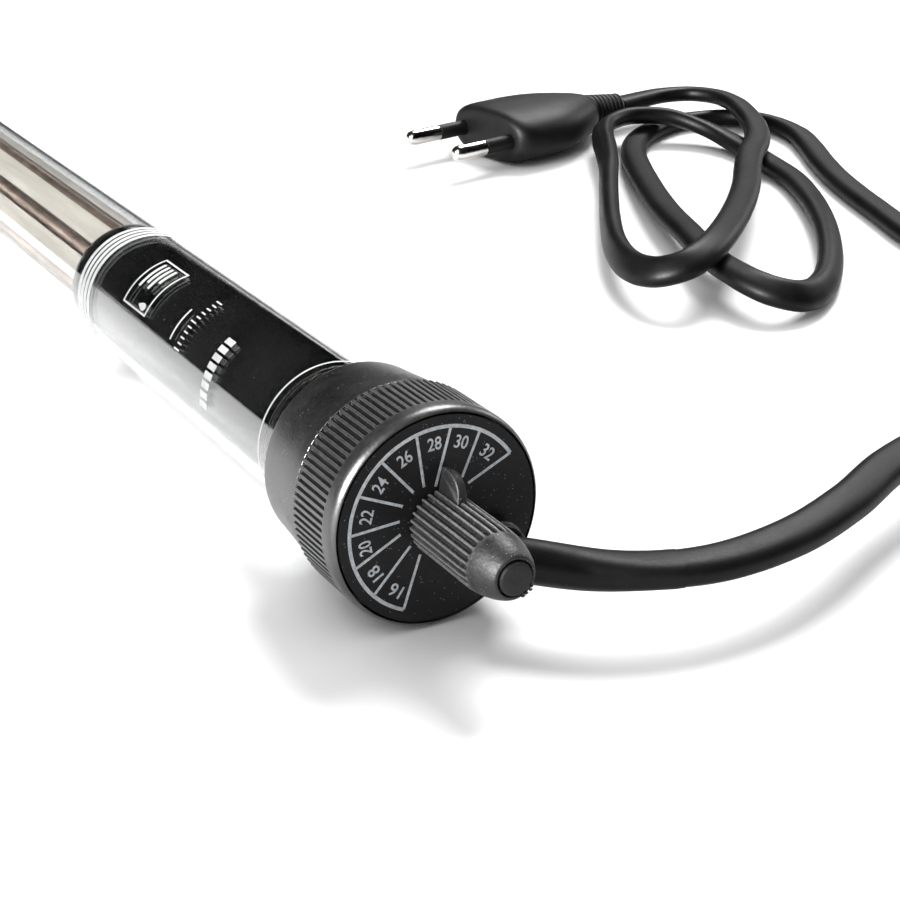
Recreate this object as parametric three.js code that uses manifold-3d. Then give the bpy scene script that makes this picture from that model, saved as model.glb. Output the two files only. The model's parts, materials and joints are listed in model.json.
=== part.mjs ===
// Submersible aquarium heater: glass tube, knurled head with a dial and a pointer knob, ceramic heating
// core and bimetal thermostat inside, flat mains lead with a two-pin plug. Millimetres, +Z up, floor at z = 0.
import * as THREE from 'three';
import { mergeVertices } from 'three/addons/utils/BufferGeometryUtils.js';
import Module from 'manifold-3d';

const wasm = await Module();
wasm.setup();

// ---- driving dimensions -------------------------------------------------
const GAP = 0.3;                 // clearance between touching pieces
const TUBE_R = 12.5;             // glass outer radius
const TUBE_WALL = 1.3;
const TUBE_END = -308;           // outside of the closed end, along the heater axis from the dial face
const TUBE_MOUTH = -7;
const KNURL_R = 17;              // crest radius of the knurled ring
const KNURL_ROOT = 16.4;
const KNURL_BACK = -12.8;
const KNURL_FRONT = -3.1;
const KNURL_RIBS = 96;
const FACE_R = 15.95;            // dial plate radius
const COLLAR_BACK = -26.5;
const COLLAR_R = 15.25;
const KNOB_R = 4.9;
const KNOB_ROOT = 4.45;
const KNOB_FLUTES = 26;
const KNOB_TIP = 21.0;
const FIN_ANGLE = 82;            // pointer direction on the dial, degrees from +Y towards +Z
const FIN_THICK = 1.5;
const BOSS_Y = 8.0;              // cord boss on the dial face
const BOSS_Z = -5.7;
const BOSS_R = 4.6;
const BOSS_H = 4.3;
const SLEEVE_R = 10.9;           // dark thermostat sleeve
const SLEEVE_WALL = 0.8;
const SLEEVE_FRONT = -28;
const SLEEVE_BACK = -118.6;
const CORE_FRONT = -122;         // ceramic heating core
const CORE_BACK = -284;
const CORE_R = 9.6;
const CORE_CHANNELS = 8;
const COIL_R = 1.25;
const BOARD_TOP = -3.0;          // thermostat carrier board
const LEAD_W = 6.8;              // flat two-core lead
const LEAD_T = 4.2;
const FACE_X = 143.2135;           // dial face centre in the row frame
const TILT = Math.asin((KNURL_R - TUBE_R) / (295.5 + KNURL_BACK));   // the head ring is larger than the tube
const FACE_Z = KNURL_R * Math.cos(TILT) - KNURL_BACK * Math.sin(TILT);

// ---- geometry helpers ---------------------------------------------------
function solid(geometry) {
  let g = geometry.clone();
  g.deleteAttribute('normal');
  if (g.getAttribute('uv')) g.deleteAttribute('uv');
  g.clearGroups();
  g = mergeVertices(g, 1e-4);
  const p = g.getAttribute('position');
  const src = g.getIndex().array;
  const keep = [];
  let volume = 0;
  for (let i = 0; i < src.length; i += 3) {
    const a = src[i], b = src[i + 1], c = src[i + 2];
    if (a === b || b === c || a === c) continue;
    keep.push(a, b, c);
    const ax = p.getX(a), ay = p.getY(a), az = p.getZ(a);
    const bx = p.getX(b), by = p.getY(b), bz = p.getZ(b);
    const cx = p.getX(c), cy = p.getY(c), cz = p.getZ(c);
    volume += ax * (by * cz - bz * cy) + ay * (bz * cx - bx * cz) + az * (bx * cy - by * cx);
  }
  if (volume < 0) for (let i = 0; i < keep.length; i += 3) [keep[i + 1], keep[i + 2]] = [keep[i + 2], keep[i + 1]];
  g.setIndex(keep);
  return g;
}

function man(geometry) {
  const g = solid(geometry);
  return new wasm.Manifold(new wasm.Mesh({
    numProp: 3,
    vertProperties: Float32Array.from(g.getAttribute('position').array),
    triVerts: Uint32Array.from(g.getIndex().array),
  }));
}

function geo(manifold) {
  const m = manifold.getMesh();
  const g = new THREE.BufferGeometry();
  const n = m.numProp;
  const pos = new Float32Array((m.vertProperties.length / n) * 3);
  for (let i = 0; i < pos.length / 3; i++) {
    pos[3 * i] = m.vertProperties[n * i];
    pos[3 * i + 1] = m.vertProperties[n * i + 1];
    pos[3 * i + 2] = m.vertProperties[n * i + 2];
  }
  g.setAttribute('position', new THREE.BufferAttribute(pos, 3));
  g.setIndex(Array.from(m.triVerts));
  return g;
}

// Turned piece about the X axis; profile is a list of [x, r].
function turned(profile, segments) {
  const g = new THREE.LatheGeometry(profile.map(([x, r]) => new THREE.Vector2(r, x)), segments);
  g.rotateZ(-Math.PI / 2);
  return solid(g);
}

function closed(profile) {
  return [...profile, profile[0]];
}

function tubeX(x0, x1, r0, r1, segments = 24) {
  return turned(closed([[x0, r0], [x0, r1], [x1, r1], [x1, r0]]), segments);
}

function rodX(x0, x1, r, segments = 16, y = 0, z = 0) {
  return turned([[x0, 0], [x0, r], [x1, r], [x1, 0]], segments).translate(0, y, z);
}

function box(x0, x1, y0, y1, z0, z1) {
  return solid(new THREE.BoxGeometry(x1 - x0, y1 - y0, z1 - z0).translate((x0 + x1) / 2, (y0 + y1) / 2, (z0 + z1) / 2));
}

function ringX(x, major, minor, tubular = 24, radial = 8) {
  return solid(new THREE.TorusGeometry(major, minor, radial, tubular).rotateY(Math.PI / 2).translate(x, 0, 0));
}

// Outline in the (y, z) plane extruded along X.
function prismX(points, x0, x1, holes = []) {
  const shape = new THREE.Shape(points.map(([y, z]) => new THREE.Vector2(y, z)));
  for (const h of holes) shape.holes.push(new THREE.Path(h.map(([y, z]) => new THREE.Vector2(y, z))));
  const g = new THREE.ExtrudeGeometry(shape, { depth: x1 - x0, bevelEnabled: false, curveSegments: 1 });
  const m = new THREE.Matrix4().set(0, 0, 1, x0, 1, 0, 0, 0, 0, 1, 0, 0, 0, 0, 0, 1);
  g.applyMatrix4(m);
  return solid(g);
}

function circlePoints(r, n, y = 0, z = 0) {
  const out = [];
  for (let i = 0; i < n; i++) {
    const a = (2 * Math.PI * i) / n;
    out.push([y + r * Math.cos(a), z + r * Math.sin(a)]);
  }
  return out;
}

// Round rod swept along a polyline of points.
function rodAlong(points, r, sides = 8, steps = 24) {
  const curve = new THREE.CatmullRomCurve3(points.map((p) => new THREE.Vector3(...p)), false, 'centripetal');
  const shape = new THREE.Shape(circlePoints(r, sides).map(([a, b]) => new THREE.Vector2(a, b)));
  return solid(new THREE.ExtrudeGeometry(shape, { steps, bevelEnabled: false, extrudePath: curve }));
}

// Turned piece [x, r] bent so that its axis follows a curve; x is the length along the curve.
function turnedAlong(profile, curve, segments) {
  const g = turned(profile, segments);
  const total = curve.getLength();
  const p = g.getAttribute('position');
  for (let i = 0; i < p.count; i++) {
    const u = THREE.MathUtils.clamp(p.getX(i) / total, 0, 1);
    const c = curve.getPointAt(u);
    const t = curve.getTangentAt(u);
    const side = new THREE.Vector3().crossVectors(new THREE.Vector3(0, 0, 1), t).normalize();
    const up = new THREE.Vector3().crossVectors(t, side);
    c.addScaledVector(side, p.getY(i)).addScaledVector(up, p.getZ(i));
    p.setXYZ(i, c.x, c.y, c.z);
  }
  return solid(g);
}

// ---- materials ----------------------------------------------------------
const matte = () => new THREE.MeshStandardMaterial({ color: 0x1b1b1c, roughness: 0.62, metalness: 0 });
const satin = () => new THREE.MeshStandardMaterial({ color: 0x161617, roughness: 0.42, metalness: 0 });
const gloss = () => new THREE.MeshStandardMaterial({ color: 0x0b0a0a, roughness: 0.08, metalness: 0 });
const glass = () => new THREE.MeshStandardMaterial({ color: 0xeef2f3, roughness: 0.03, metalness: 0, transparent: true, opacity: 0.25 });
const ceramic = () => new THREE.MeshStandardMaterial({ color: 0xa79f8f, roughness: 0.8, metalness: 0 });
const rubber = () => new THREE.MeshStandardMaterial({ color: 0x151515, roughness: 0.7, metalness: 0 });
const silicone = () => new THREE.MeshStandardMaterial({ color: 0x3a3a3c, roughness: 0.6, metalness: 0 });
const coil = () => new THREE.MeshStandardMaterial({ color: 0x8b6355, roughness: 0.45, metalness: 0.8 });
const steel = () => new THREE.MeshStandardMaterial({ color: 0xb9bcc0, roughness: 0.3, metalness: 1 });
const brass = () => new THREE.MeshStandardMaterial({ color: 0xc2a35a, roughness: 0.3, metalness: 1 });
const silver = () => new THREE.MeshStandardMaterial({ color: 0xd9d9d6, roughness: 0.25, metalness: 1 });
const bimetal = () => new THREE.MeshStandardMaterial({ color: 0xa8896a, roughness: 0.35, metalness: 1 });
const board = () => new THREE.MeshStandardMaterial({ color: 0x6b4a2a, roughness: 0.7, metalness: 0 });
const lampGlass = () => new THREE.MeshStandardMaterial({ color: 0xe9a070, roughness: 0.1, metalness: 0 });
const wireRed = () => new THREE.MeshStandardMaterial({ color: 0x6a4632, roughness: 0.5, metalness: 0 });
const wireBlue = () => new THREE.MeshStandardMaterial({ color: 0x2f4d86, roughness: 0.5, metalness: 0 });
const film = () => new THREE.MeshStandardMaterial({ color: 0x2d6f8f, roughness: 0.4, metalness: 0 });

const root = new THREE.Group();
root.name = 'aquarium_heater';
const heater = new THREE.Group();
heater.name = 'heater_axis';
heater.position.set(FACE_X, 0, FACE_Z);
heater.rotation.y = -TILT;
root.add(heater);

function add(parent, name, geometry, material) {
  geometry.computeVertexNormals();
  const mesh = new THREE.Mesh(geometry, material);
  mesh.name = name;
  parent.add(mesh);
  return mesh;
}

// ---- glass tube ---------------------------------------------------------
{
  const inner = TUBE_R - TUBE_WALL;
  const centre = TUBE_END + TUBE_R;
  const profile = [];
  for (let i = 0; i <= 7; i++) {
    const a = (Math.PI / 2) * (i / 7);
    profile.push([centre - TUBE_R * Math.cos(a), TUBE_R * Math.sin(a)]);
  }
  profile.push([TUBE_MOUTH - 0.4, TUBE_R], [TUBE_MOUTH, TUBE_R - 0.35], [TUBE_MOUTH, inner + 0.35], [TUBE_MOUTH - 0.4, inner]);
  for (let i = 6; i >= 0; i--) {
    const a = (Math.PI / 2) * (i / 6);
    profile.push([centre - inner * Math.cos(a), inner * Math.sin(a)]);
  }
  add(heater, 'glass_tube', turned(profile, 40), glass());
}

// ---- head: collar body, knurled cap, dial plate -------------------------
add(heater, 'head_body', turned(closed([
  [COLLAR_BACK, TUBE_R + GAP], [COLLAR_BACK, COLLAR_R - 0.5], [COLLAR_BACK + 0.5, COLLAR_R],
  [COLLAR_BACK + 3, COLLAR_R + 0.22], [-18, 16.0], [-13.4, 16.35], [-13.4, 14.2], [-4.5, 14.2], [-4.5, TUBE_R + GAP],
  [-17.0, TUBE_R + GAP], [-17.0, 14.6], [-20.0, 14.6], [-20.0, TUBE_R + GAP],
]), 48), matte());
add(heater, 'tube_gasket', ringX(-18.5, 13.55, 0.7, 40, 8), rubber());

{
  const base = man(turned(closed([
    [-13.1, 14.5], [-13.1, 16.0], [KNURL_BACK, KNURL_ROOT], [KNURL_FRONT + 0.1, KNURL_ROOT], [KNURL_FRONT + 0.3, KNURL_R],
    [-1.2, KNURL_R], [-0.6, 16.93], [-0.15, 16.65], [0, 16.35], [0, 16.25], [-2.8, 16.25], [-2.8, 14.5],
  ]), 64));
  const outline = [];
  for (let i = 0; i < KNURL_RIBS; i++) {
    const a = (2 * Math.PI * i) / KNURL_RIBS;
    const w = (2 * Math.PI) / KNURL_RIBS;
    for (const [f, r] of [[-0.30, KNURL_ROOT - 0.05], [-0.17, KNURL_R], [0.17, KNURL_R], [0.30, KNURL_ROOT - 0.05]]) {
      outline.push([r * Math.cos(a + f * w), r * Math.sin(a + f * w)]);
    }
  }
  const ribs = man(prismX(outline, KNURL_BACK + 0.2, KNURL_FRONT - 0.1, [circlePoints(15.2, 48)]));
  add(heater, 'knurled_cap', geo(base.add(ribs)), matte());
}

{
  const plate = man(rodX(-2.5, 0, FACE_R, 64));
  const holes = man(rodX(-4, 2, 2.8, 20)).add(man(rodX(-4, 2, 3.95, 20, BOSS_Y, BOSS_Z)));
  add(heater, 'dial_plate', geo(plate.subtract(holes)), matte());
}

// ---- knob with its pointer fin, tip disc, spindle -----------------------
{
  const outline = [];
  for (let i = 0; i < KNOB_FLUTES; i++) {
    const a = (2 * Math.PI * i) / KNOB_FLUTES;
    const w = (2 * Math.PI) / KNOB_FLUTES;
    for (const [f, r] of [[-0.32, KNOB_ROOT], [-0.14, KNOB_R], [0.14, KNOB_R], [0.32, KNOB_ROOT]]) {
      outline.push([r * Math.cos(a + f * w), r * Math.sin(a + f * w)]);
    }
  }
  const stem = man(prismX(outline, 0.3, 14.6));
  const dome = man(turned([[0.6, 0], [0.6, 4.4], [15.2, 4.75], [16.6, 4.6], [18.2, 4.3], [19.6, 3.85], [20.5, 3.45], [KNOB_TIP, 3.1], [KNOB_TIP, 0]], 32));
  const finShape = new THREE.Shape([[4.2, 0.3], [8.2, 0.3], [8.45, 1.3], [8.45, 2.3], [8.15, 3.4], [7.55, 4.4], [6.7, 5.2], [5.7, 5.7], [4.2, 5.9]]
    .map(([r, h]) => new THREE.Vector2(r, h)));
  const finGeo = new THREE.ExtrudeGeometry(finShape, { depth: FIN_THICK, bevelEnabled: false });
  // shape (r, h, thickness) -> (y, x, z) before turning to the pointer angle
  finGeo.applyMatrix4(new THREE.Matrix4().set(0, 1, 0, 0, 1, 0, 0, 0, 0, 0, 1, -FIN_THICK / 2, 0, 0, 0, 1));
  finGeo.rotateX(THREE.MathUtils.degToRad(FIN_ANGLE));
  let knob = stem.add(dome).add(man(finGeo));
  knob = knob.subtract(man(rodX(-1, 12, 2.7, 20))).subtract(man(rodX(19.8, 23, 2.75, 20)));
  add(heater, 'knob', geo(knob), satin());
  add(heater, 'knob_tip_plug', turned([[20.1, 0], [20.1, 2.45], [21.35, 2.45], [21.5, 2.3], [21.5, 0]], 20), satin());
}
{
  const p = [[11.6, 0], [11.6, 2.2], [11.3, 2.4], [-4.0, 2.4], [-4.0, 1.4], [-5.6, 1.4], [-5.6, 2.4], [-24.9, 2.4], [-24.9, 1.4], [-26.5, 1.4], [-26.5, 2.4], [-33, 2.4]];
  for (let i = 0; i < 8; i++) p.push([-34 - 1.5 * i, 1.95], [-34.75 - 1.5 * i, 2.4]);
  p.push([-46, 2.0], [-46, 0]);
  add(heater, 'spindle', turned(p, 20), steel());
}
add(heater, 'spindle_bush', tubeX(-7.4, -2.8, 2.8, 4.5, 20), brass());
add(heater, 'spindle_o_ring', ringX(-4.8, 2.1, 0.4, 20, 8), rubber());
{
  const clip = man(tubeX(-26.1, -25.3, 1.75, 4.2, 24)).subtract(man(box(-27, -24, -0.9, 0.9, 1, 6)));
  add(heater, 'spindle_clip', geo(clip), steel());
}

// ---- cord boss on the dial ----------------------------------------------
add(heater, 'cord_boss', turned(closed([
  [-3.6, 2.9], [-3.6, 3.6], [GAP, 3.6], [GAP, BOSS_R], [BOSS_H - 1.0, BOSS_R - 0.08], [BOSS_H - 0.35, BOSS_R - 0.35], [BOSS_H, 3.9], [BOSS_H, 3.65],
  [1.5, 3.65], [1.5, 2.9],
]), 32).translate(0, BOSS_Y, BOSS_Z), matte());

// ---- rubber stopper in the tube mouth -----------------------------------
{
  const holes = man(rodX(-30, 0, 2.75, 20)).add(man(rodX(-30, 0, 1.4, 12, 7.2, -3.6))).add(man(rodX(-30, 0, 1.4, 12, 4.2, -7.0)));
  const bung = man(turned([[-7.8, 0], [-7.8, 10.6], [-8.2, 10.9], [-23.6, 10.9], [-24.0, 10.6], [-24.0, 0]], 32));
  add(heater, 'tube_stopper', geo(bung.subtract(holes)), silicone());
}

// ---- thermostat sleeve and separator disc -------------------------------
add(heater, 'thermostat_sleeve', tubeX(SLEEVE_BACK, SLEEVE_FRONT, SLEEVE_R - SLEEVE_WALL, SLEEVE_R, 48), gloss());
{
  const disc = man(rodX(-121.4, -119.1, 10.9, 40));
  const holes = man(rodX(-125, -115, 0.95, 10, 1.3, 0)).add(man(rodX(-125, -115, 0.95, 10, -1.3, 0)));
  add(heater, 'separator_disc', geo(disc.subtract(holes)), gloss());
}

// ---- ceramic core, coils, end pad ---------------------------------------
{
  const outline = [];
  const cr = 1.75;               // channel radius
  const cc = CORE_R - 0.95;      // channel centre radius
  for (let i = 0; i < CORE_CHANNELS; i++) {
    const a0 = (2 * Math.PI * i) / CORE_CHANNELS;
    const half = Math.asin(Math.min(1, cr / cc)) * 1.02;
    // channel wall from the opening inwards, then the land between channels
    for (let k = 0; k <= 6; k++) {
      const b = Math.PI * (0.32 + (1.36 * k) / 6);     // around the channel centre, open side outwards
      const y = cc - 0 + cr * Math.cos(b), z = -cr * Math.sin(b);
      outline.push([y * Math.cos(a0) - z * Math.sin(a0), y * Math.sin(a0) + z * Math.cos(a0)]);
    }
    for (let k = 1; k <= 3; k++) {
      const a = a0 + half + ((2 * Math.PI) / CORE_CHANNELS - 2 * half) * (k / 4);
      outline.push([CORE_R * Math.cos(a), CORE_R * Math.sin(a)]);
    }
  }
  add(heater, 'ceramic_core', prismX(outline, CORE_BACK, CORE_FRONT, [circlePoints(2.6, 14)]), ceramic());
  for (let i = 0; i < CORE_CHANNELS; i++) {
    const a0 = (2 * Math.PI * i) / CORE_CHANNELS;
    const p = [[CORE_BACK + 2, 0]];
    const n = 16;
    for (let k = 0; k <= n; k++) p.push([CORE_BACK + 2 + (158 * k) / n, k % 2 ? COIL_R : COIL_R - 0.25]);
    p.push([CORE_FRONT - 2, 0]);
    add(heater, `heating_coil_${i + 1}`, turned(p, 8).translate(0, cc * Math.cos(a0), cc * Math.sin(a0)), coil());
  }
}
add(heater, 'core_end_pad', rodX(-288, -284.3, 10.6, 32), ceramic());

// ---- thermostat ---------------------------------------------------------
add(heater, 'carrier_board', box(-112, -41, -8, 8, BOARD_TOP - 1.6, BOARD_TOP), board());
{
  const block = man(box(-46, -40, -4, 4, -1.6, 5.0)).add(man(box(-51.6, -45, -1.5, 1.5, 3.2, 7.6))).add(man(box(-46, -40, -1.5, 1.5, 4.5, 7.6)));
  const cut = man(rodX(-50, -35, 2.75, 16)).add(man(box(-60, -46, -2, 2, -3, 6.2)));
  add(heater, 'follower_nut', geo(block.subtract(cut)), brass());
}
{
  const cheeks = man(box(-56, -52, 4.4, 5.4, BOARD_TOP + GAP, 3.4)).add(man(box(-56, -52, -5.4, -4.4, BOARD_TOP + GAP, 3.4))).add(man(box(-56, -52, -5.4, 5.4, BOARD_TOP + GAP, -1.9)));
  add(heater, 'lever_bracket', geo(cheeks.subtract(man(new THREE.CylinderGeometry(0.85, 0.85, 14, 12).translate(-54, 0, 0)).translate(0, 0, 2.4))), steel());
  add(heater, 'lever_pin', solid(new THREE.CylinderGeometry(0.5, 0.5, 11.2, 10).translate(-54, 0, 2.4)), steel());
  const lever = man(box(-72.5, -53.6, -3.6, 3.6, 2.0, 2.8)).add(man(box(-54.4, -53.6, -3.6, 3.6, 2.0, 7.9)))
    .add(man(new THREE.CylinderGeometry(1.3, 1.3, 7.2, 14).translate(-54, 0, 2.4)))
    .add(man(box(-53.7, -51.95, -1.1, 1.1, 6.7, 7.9)))
    .subtract(man(new THREE.CylinderGeometry(0.8, 0.8, 12, 12).translate(-54, 0, 2.4)));
  add(heater, 'contact_lever', geo(lever), brass());
  add(heater, 'lever_contact', solid(new THREE.CylinderGeometry(1.5, 1.5, 0.9, 14).rotateX(Math.PI / 2).translate(-70.5, 0, 3.55)), silver());
}
add(heater, 'bimetal_strip', box(-106, -67, -3.5, 3.5, 6.6, 7.4), bimetal());
add(heater, 'bimetal_contact', solid(new THREE.CylinderGeometry(1.5, 1.5, 0.9, 14).rotateX(Math.PI / 2).translate(-70.5, 0, 5.85)), silver());
add(heater, 'bimetal_foot', box(-108, -102, -3.5, 3.5, BOARD_TOP + GAP, 6.3), brass());
add(heater, 'snap_magnet', box(-84, -80, -3, 3, BOARD_TOP + GAP, 5.8), steel());
add(heater, 'neon_lamp', turned([[-99, 0], [-98.4, 1.1], [-97.2, 1.8], [-90, 1.8], [-88.8, 1.2], [-88.2, 0]], 16).translate(0, 6, 0.3), lampGlass());
add(heater, 'neon_resistor', turned([[-84, 0], [-84, 1.2], [-83, 1.4], [-77.5, 1.4], [-76.5, 1.2], [-76.5, 0]], 12).translate(0, 6, -0.3), film());
add(heater, 'suppressor_capacitor', box(-98, -88, -8.2, -4.2, BOARD_TOP + GAP, 3.2), film());
add(heater, 'terminal_live', tubeX(-43, -37, 1.25, 1.7, 12).translate(0, 4.4, -6.7), brass());
add(heater, 'terminal_neutral', tubeX(-43, -37, 1.25, 1.7, 12).translate(0, -0.4, -7.0), brass());
add(heater, 'lead_live', rodAlong([[-4.1, 8, -4.9], [-5.4, 7.5, -4.1], [-7.4, 7.2, -3.65], [-12, 7.2, -3.6], [-24, 7.2, -3.6], [-30, 6.2, -4.9], [-36, 4.6, -6.6], [-38, 4.4, -6.7], [-43.5, 4.4, -6.7]], 0.9, 8, 24), wireRed());
add(heater, 'lead_neutral', rodAlong([[-4.1, 6.6, -7.1], [-5.4, 5.2, -7.05], [-7.4, 4.25, -7.0], [-12, 4.2, -7.0], [-24, 4.2, -7.0], [-30, 2.2, -7.1], [-36, -0.2, -7.0], [-38, -0.4, -7.0], [-43.5, -0.4, -7.0]], 0.9, 8, 24), wireBlue());
add(heater, 'coil_lead_1', rodAlong([[-109, 1.3, -1.0], [-113, 1.3, -0.9], [-117, 1.3, -0.1], [-122, 1.3, 0], [-130, 1.3, 0]], 0.55, 8, 12), steel());
add(heater, 'coil_lead_2', rodAlong([[-109, -1.3, -1.0], [-113, -1.3, -0.9], [-117, -1.3, -0.1], [-122, -1.3, 0], [-130, -1.3, 0]], 0.55, 8, 12), steel());

// ---- flat mains lead ----------------------------------------------------
// Route from the boss, relative to the dial face in plan, height above the floor.
const BOSS_FLOOR = FACE_Z + BOSS_Z;
// Each row: x, y, height, and the roll of the flat section about the run in degrees.
const ROUTE = [
  [5.6, 8, 11.5, 0], [15.6, 19, 11.19, 0], [20.9, 32.8, 11.03, 7], [20.6, 47.7, 11.36, 12], [16.3, 62, 11.71, 15], [9.9, 75.5, 11.76, 16],
  [4.7, 89.5, 11.24, 13], [-0.6, 103.5, 10.4, 11], [-6.1, 117.3, 9.19, 10], [-12.7, 130.7, 7.74, 10], [-21, 143, 6.23, 10], [-31.3, 153.7, 4.83, 10],
  [-43.8, 161.9, 3.7, 8], [-57.3, 168.1, 2.94, 4], [-71.5, 172.9, 2.41, 1], [-85.9, 176.8, 2.21, 0], [-100.4, 180.6, 2.2, 0], [-114.5, 185.4, 2.2, 0],
  [-128.7, 190.1, 2.2, 0], [-142.7, 195.4, 2.2, 0], [-156.3, 201.7, 2.2, -1], [-169.5, 208.6, 2.24, 2], [-181.4, 213.4, 2.45, 12], [-193.9, 213.6, 2.62, 20],
  [-203.7, 206.1, 2.61, 19], [-206.6, 193.9, 2.46, 12], [-203.2, 181.8, 2.25, 3], [-195.5, 171.2, 2.29, 0], [-183.8, 161.9, 2.83, 0], [-170.9, 154.5, 3.48, 0],
  [-157.6, 147.6, 4.13, 0], [-144.2, 141, 4.75, 0], [-130.5, 134.9, 5.4, 0], [-116.6, 129.6, 6.08, 0], [-102.7, 124.1, 6.69, -1], [-96.8, 122.1, 6.94, 1],
  [-91.5, 120.6, 7.16, 3], [-86.1, 119.7, 7.31, 8], [-80.6, 119.5, 7.15, 18], [-75.6, 121.3, 6.38, 34], [-73.4, 126, 5.13, 49], [-74.7, 131.2, 4.26, 54],
  [-77.6, 135.8, 3.79, 55], [-81, 140.1, 3.51, 54], [-84.8, 144, 3.33, 52], [-88.8, 147.8, 3.2, 50], [-96.6, 154.5, 3.11, 46], [-108.5, 163.5, 2.96, 37],
  [-121, 171.7, 2.75, 26], [-134.1, 179, 2.52, 15], [-147.7, 185.1, 2.3, 5], [-162.2, 188.8, 2.21, 0], [-176.9, 191.2, 2.76, 6], [-189.5, 189.5, 4.71, 19],
  [-198.1, 183.1, 6.94, 26], [-201.6, 172.8, 7.68, 31], [-197.8, 162.6, 7.34, 43], [-189.2, 155.7, 7.11, 56], [-179.5, 150.1, 7.01, 63], [-168, 143.2, 6.8, 70],
  [-155.6, 134.8, 6.43, 76], [-143.1, 126.5, 6.25, 78], [-130.6, 118.4, 6.17, 77], [-117.7, 110.7, 6.25, 73], [-112.1, 107.9, 6.39, 70], [-107, 105.7, 6.61, 66],
  [-101.8, 104.1, 6.97, 62], [-96.4, 103.3, 7.62, 57], [-91.2, 104.2, 8.77, 49], [-88.2, 108.2, 10.39, 35], [-89.3, 113.4, 11.5, 24], [-92.1, 118.1, 11.92, 18],
  [-95.5, 122.4, 11.91, 14], [-99.1, 126.5, 11.71, 13], [-102.8, 130.5, 11.44, 11], [-110.2, 138, 10.78, 9], [-121, 148.3, 9.83, 7], [-132.2, 158.2, 9, 6],
  [-143.8, 167.6, 8.28, 6], [-155.2, 177.3, 7.68, 6], [-165.8, 187.8, 7.18, 6], [-177.8, 196.7, 6.91, 7], [-191.1, 203.4, 7.13, 10], [-199.1, 206.1, 7.39, 12],
  [-207.4, 206.4, 7.51, 12], [-214.7, 202.6, 7.27, 13], [-217.9, 195, 7.04, 9], [-217.2, 186.7, 6.93, 4], [-215.7, 178.5, 6.85, 0],
];
const routePoints = ROUTE.map(([x, y, z]) => new THREE.Vector3(x + FACE_X, y, z));
const routeCurve = new THREE.CatmullRomCurve3(routePoints, false, 'centripetal');
const PER = 48;
routeCurve.arcLengthDivisions = (routePoints.length - 1) * PER;
const ROUTE_LENGTH = routeCurve.getLength();
const RELIEF = 24;               // length of the tapered strain relief along the lead

class Stretch extends THREE.Curve {
  constructor(curve, a, b) { super(); this.curve = curve; this.a = a; this.b = b; this.arcLengthDivisions = 1200; }
  getPoint(t, target = new THREE.Vector3()) {
    const u = (this.a + (this.b - this.a) * t) / ROUTE_LENGTH;
    return target.copy(this.curve.getPointAt(THREE.MathUtils.clamp(u, 0, 1)));
  }
}

// Closed band with a flat rounded section, rolled about its run.
function flatLead(from) {
  const lengths = routeCurve.getLengths(routeCurve.arcLengthDivisions);
  const n = routePoints.length - 1;
  const stops = [[from, ROUTE[0][3]]];
  for (let i = 0; i < 2 * n + 1; i++) {
    const s = lengths[(i * PER) / 2];
    const a = ROUTE[Math.floor(i / 2)][3], b = ROUTE[Math.min(Math.ceil(i / 2), n)][3];
    if (s > from + 2) stops.push([s, (a + b) / 2]);
  }
  const k = LEAD_T / 2, e = (LEAD_W - LEAD_T) / 2, h = k * Math.SQRT1_2;
  const section = [[e + k, 0], [e + h, h], [e, k], [-e, k], [-e - h, h], [-e - k, 0], [-e - h, -h], [-e, -k], [e, -k], [e + h, -h]];
  const m = section.length;
  const pos = [], index = [];
  for (const [s, roll] of stops) {
    const u = THREE.MathUtils.clamp(s / ROUTE_LENGTH, 0, 1);
    const c = routeCurve.getPointAt(u), t = routeCurve.getTangentAt(u);
    const left = new THREE.Vector3().crossVectors(new THREE.Vector3(0, 0, 1), t).normalize();
    const up = new THREE.Vector3().crossVectors(t, left);
    const r = THREE.MathUtils.degToRad(roll);
    const w = left.clone().multiplyScalar(Math.cos(r)).addScaledVector(up, Math.sin(r));
    const v = new THREE.Vector3().crossVectors(t, w);
    for (const [a, b] of section) {
      const q = c.clone().addScaledVector(w, a).addScaledVector(v, b);
      pos.push(q.x, q.y, Math.max(q.z, 0.02));
    }
  }
  const rings = stops.length;
  for (let i = 0; i < rings - 1; i++) for (let j = 0; j < m; j++) {
    const a = i * m + j, b = i * m + (j + 1) % m;
    index.push(a, b, a + m, b, b + m, a + m);
  }
  for (let j = 1; j < m - 1; j++) { index.push(0, j + 1, j); const o = (rings - 1) * m; index.push(o, o + j, o + j + 1); }
  const g = new THREE.BufferGeometry();
  g.setAttribute('position', new THREE.BufferAttribute(new Float32Array(pos), 3));
  g.setIndex(index);
  return solid(g);
}

{
  const relief = new Stretch(routeCurve, 0, RELIEF);
  add(root, 'strain_relief', turnedAlong([
    [0, 0], [0, 3.3], [3, 3.3], [6, 3.28], [9, 3.22], [12, 3.12], [15, 3.0], [18, 2.86], [21, 2.7], [RELIEF, 2.55], [RELIEF, 0],
  ], relief, 16), rubber());
  add(root, 'mains_cord', flatLead(RELIEF + GAP), rubber());
}

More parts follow.
